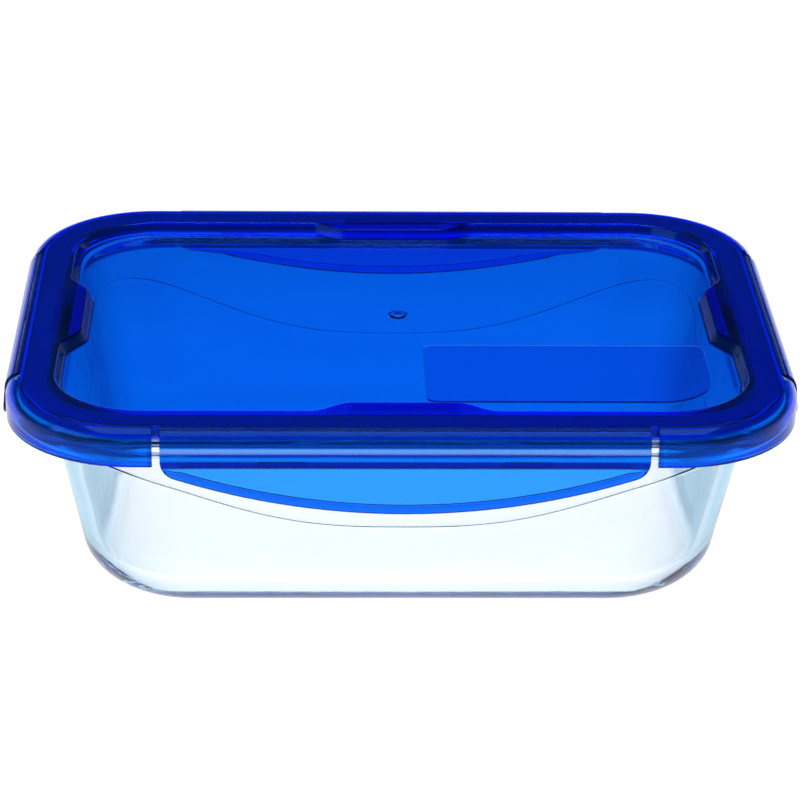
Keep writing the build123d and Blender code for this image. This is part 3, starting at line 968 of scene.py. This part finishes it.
def glass_colour(n):
    """Almost clear, with a blue-grey painted shade where an upright surface turns from the view, and a dark
    painted shade on the wave line.
    """
    colour = n.mix(n.noise(14), (0.98, 0.992, 1.0, 1), (0.995, 1.0, 1.0, 1))
    # painted shade: blue-grey on upright surfaces where they turn from the view
    facing = n.add("ShaderNodeLayerWeight", {"Blend": 0.5}).outputs["Facing"]
    normal = n.add("ShaderNodeNewGeometry").outputs["Normal"]
    height = n.add("ShaderNodeSeparateXYZ", {0: normal}).outputs["Z"]
    upright = n.ramp(n.math("ABSOLUTE", height), 0.3, 0.9, 1, 0.06)
    edge = n.math("MULTIPLY", n.ramp(facing, 0.18, 0.7, 0, 1), upright)
    colour = n.mix(edge, colour, (0.09, 0.30, 0.46, 1))
    # painted shade: a dark grey line where the finish marks the wave line
    line = n.add("ShaderNodeAttribute", attribute_name="finish").outputs["Fac"]
    return n.mix(n.ramp(line, 0.7, 0.98, 0, 1), colour, (0.12, 0.16, 0.20, 1))


def clear_glass():
    """Thick pressed glass: clear, fire-polished, with slow ripples and a faint cool tint in its depth."""
    n = Nodes("clear_glass")
    ripples = n.bump(n.noise(26, detail=2, stretch=(1, 1, 0.6)), 0.0011, 0.35)
    streaks = n.bump(n.noise(70, detail=3, stretch=(1, 1, 0.25)), 0.0002, 0.35, below=ripples)
    shader = n.add(
        "ShaderNodeBsdfPrincipled",
        {
            "Base Color": glass_colour(n),
            "Transmission Weight": 1.0,
            "Roughness": n.ramp(n.noise(160, detail=5), 0.55, 0.8, 0.0, 0.03),
            "IOR": 1.5,
            "Normal": streaks,
        },
    )
    volume = n.add("ShaderNodeVolumeAbsorption", {"Color": (0.10, 0.52, 0.76, 1), "Density": 12.0})
    return n.finish(shader, volume)


def pale_floor():
    """A plain pale light table, with a painted pool of light round the container, dimmer far off."""
    n = Nodes("pale_floor")
    away = n.add("ShaderNodeVectorMath", {0: n.place}, operation="LENGTH").outputs["Value"]
    # painted pool of light: brighter within a few centimetres of the container
    near = n.ramp(away, 0.05, 0.2, 1.28, 0.9)
    far = n.ramp(away, 0.5, 2.5, 1.0, 0.75)
    shader = n.add(
        "ShaderNodeBsdfPrincipled",
        {
            "Base Color": (0.3, 0.31, 0.32, 1),
            "Roughness": 0.9,
            "Emission Color": (1, 1, 1, 1),
            "Emission Strength": n.math("MULTIPLY", near, far),
        },
    )
    return n.finish(shader)


# ------------------------------------------------------------------ stage, light and camera
def make_floor():
    """A wide disc just under the container."""
    radius = 4.0
    gap = 0.0004
    mesh = bpy.data.meshes.new("floor")
    bm = bmesh.new()
    bmesh.ops.create_circle(bm, cap_ends=True, radius=radius, segments=96)
    bm.to_mesh(mesh)
    bm.free()
    floor = bpy.data.objects.new("floor", mesh)
    floor.location.z = -gap
    mesh.materials.append(pale_floor())
    bpy.context.scene.collection.objects.link(floor)


def make_world():
    """A dark room, pale low down behind the container as a paper sweep, and softly lit overhead."""
    world = bpy.data.worlds.new("studio")
    bpy.context.scene.world = world
    world.use_nodes = True
    tree = world.node_tree
    tree.nodes.clear()
    place = tree.nodes.new("ShaderNodeTexCoord")
    split = tree.nodes.new("ShaderNodeSeparateXYZ")
    background = tree.nodes.new("ShaderNodeBackground")
    output = tree.nodes.new("ShaderNodeOutputWorld")
    tree.links.new(place.outputs["Generated"], split.inputs[0])

    def shades(axis, *stops):
        """The sky's colour, by how far a direction points along an axis: 0 is square to it, 1 along it."""
        ramp = tree.nodes.new("ShaderNodeValToRGB")
        while len(ramp.color_ramp.elements) < len(stops):
            ramp.color_ramp.elements.new(0.5)
        for element, (position, colour) in zip(ramp.color_ramp.elements, stops):
            element.position = position
            element.color = (*colour, 1)
        tree.links.new(split.outputs[axis], ramp.inputs["Fac"])
        return ramp.outputs["Color"]

    dark = (0.008, 0.014, 0.03)
    above = [(0.7, dark), (1.0, (0.3, 0.35, 0.4))]
    room = shades("Z", (0.0, (0.16, 0.36, 0.50)), (0.12, (0.10, 0.22, 0.32)), (0.22, dark), *above)
    paper = shades("Z", (0.0, (0.45, 0.6, 0.75)), (0.1, (0.35, 0.5, 0.65)), (0.2, dark), *above)
    behind = shades("Y", (0.5, (0, 0, 0)), (0.85, (1, 1, 1)))
    mix = tree.nodes.new("ShaderNodeMix")
    first, second, result = colour_sockets(mix)
    tree.links.new(behind, mix.inputs["Factor"])
    tree.links.new(room, first)
    tree.links.new(paper, second)
    tree.links.new(result, background.inputs["Color"])
    tree.links.new(background.outputs[0], output.inputs["Surface"])


def softbox(name, position, size, power):
    """A rectangular soft white light aimed at the container."""
    light = bpy.data.lights.new(name, "AREA")
    light.shape = "RECTANGLE"
    light.size, light.size_y = size
    light.energy = power
    obj = bpy.data.objects.new(name, light)
    obj.location = position
    aim = Vector(position) - Vector((0, 0, LID_TOP * MM))
    obj.rotation_euler = aim.to_track_quat("Z", "Y").to_euler()
    bpy.context.scene.collection.objects.link(obj)


def make_camera():
    """A long lens from the front, slightly left and rolled, as a tabletop product shot."""
    azimuth, elevation, roll = (math.radians(a) for a in (-1.87, 24.76, 0.9))
    distance = 0.8514
    target = Vector((0.0008, 0.0, 0.0348))
    level = math.cos(elevation)
    back = Vector((math.sin(azimuth) * level, -math.cos(azimuth) * level, math.sin(elevation)))
    camera = bpy.data.objects.new("camera", bpy.data.cameras.new("camera"))
    camera.data.lens = 143
    camera.data.clip_start = 0.01
    camera.location = target + back * distance
    turn = back.to_track_quat("Z", "Y").to_matrix() @ Matrix.Rotation(roll, 3, "Z")
    camera.rotation_euler = turn.to_euler()
    bpy.context.scene.collection.objects.link(camera)
    bpy.context.scene.camera = camera


def set_up_stage():
    """Floor, room, lights, camera, and how light bounces and is shown."""
    make_floor()
    make_world()
    softbox("overhead_softbox", (0.0, -0.3, 1.25), (1.3, 0.9), 9)
    softbox("front_left_softbox", (-1.1, -0.7, 0.55), (0.9, 0.7), 3)
    make_camera()
    scene = bpy.context.scene
    scene.view_settings.view_transform = "Standard"
    scene.cycles.max_bounces = 32
    scene.cycles.transmission_bounces = 32
    scene.cycles.glossy_bounces = 24


# ------------------------------------------------------------------ assembly
def fit(piece, material, node):
    """Gives a piece its material, and lets it stand for its CAD node."""
    piece.data.materials.append(material)
    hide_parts(node)
    return piece


set_up_stage()
plastic = lid_plastic()

dish = fit(make_dish(), clear_glass(), "glass_dish")
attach(dish, "dish")
shell = fit(make_lid_shell(), plastic, "lid_shell")
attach(shell, "lid")
gasket = fit(make_gasket(), gasket_silicone(), "lid_gasket")
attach(gasket, "lid")
for side in SIDES:
    flap = fit(make_flap(side), plastic, f"{side}_flap")
    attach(flap, f"{side}_flap")
    web = fit(make_hinge(side), plastic, f"{side}_hinge")
    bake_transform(web)
